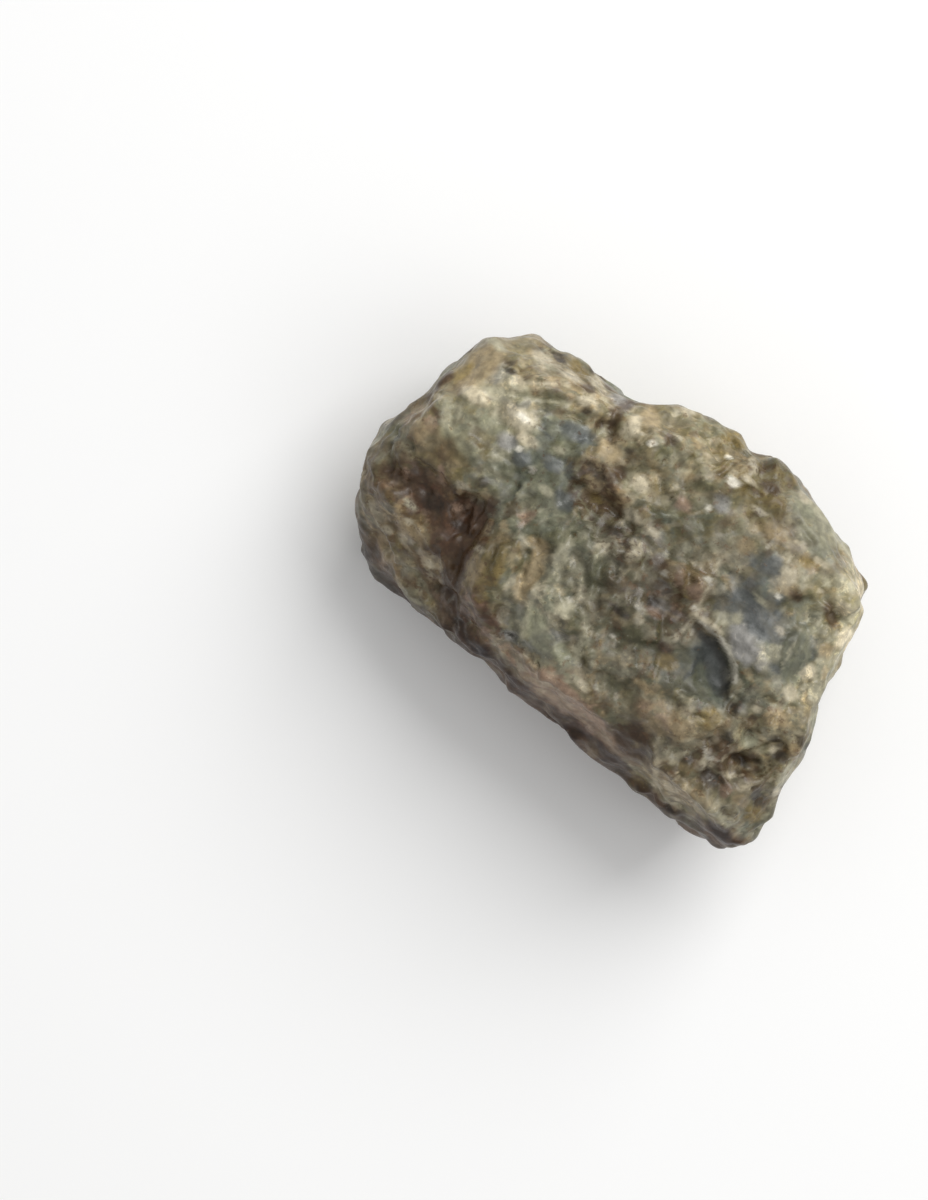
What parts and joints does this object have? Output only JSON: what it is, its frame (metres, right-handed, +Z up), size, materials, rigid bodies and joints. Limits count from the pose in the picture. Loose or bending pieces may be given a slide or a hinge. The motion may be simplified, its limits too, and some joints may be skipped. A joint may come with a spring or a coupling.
{
  "type": "rough labradorite chunk",
  "caption": "Rough broken chunk of labradorite feldspar, lying on its flattest side with its broad mottled face up.",
  "frame": {"origin": "on the flat resting face, under the middle of the stone's box", "axes": "+Z up out of the broad face, +X along the stone's length towards its pointed end, +Y towards the long thicker edge"},
  "size_m": [0.0614, 0.0394, 0.0272],
  "materials": {
    "labradorite": "rough broken feldspar: mottled grey-green, brown and slate blue with cream patches and small bright cleavage glints"
  },
  "bodies": {
    "root": {"labradorite_chunk": "labradorite"}
  },
  "joints": []
}
